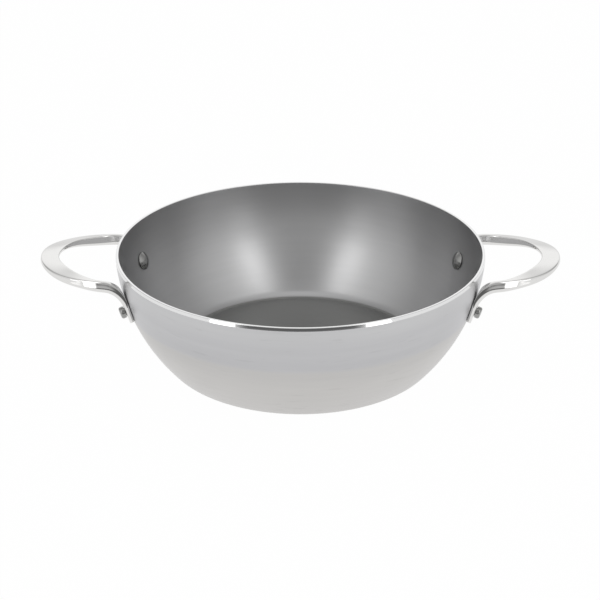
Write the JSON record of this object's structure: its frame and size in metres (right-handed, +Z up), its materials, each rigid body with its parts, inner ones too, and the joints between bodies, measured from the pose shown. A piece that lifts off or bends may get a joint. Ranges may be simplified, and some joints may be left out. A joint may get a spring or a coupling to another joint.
{
  "type": "deep frying pan",
  "caption": "Deep round frying pan pressed from one steel sheet, with a flat base, curved sides, a polished rim and cast loop handles riveted on opposite sides.",
  "frame": {"origin": "centre of the flat base, on the hob", "axes": "+X towards the right-hand handle, +Y away from the viewer of the picture, +Z up"},
  "size_m": [0.395, 0.2798, 0.09],
  "materials": {
    "bowl_steel": "satin carbon steel with fine turned marks, polished at the rim",
    "handle_steel": "mirror-polished cast stainless steel, not plated",
    "rivet_steel": "dull steel"
  },
  "bodies": {
    "root": {"pan_body": "bowl_steel", "left_handle": "handle_steel", "right_handle": "handle_steel", "left_front_rivet": "rivet_steel", "left_rear_rivet": "rivet_steel", "right_front_rivet": "rivet_steel", "right_rear_rivet": "rivet_steel"}
  },
  "joints": []
}
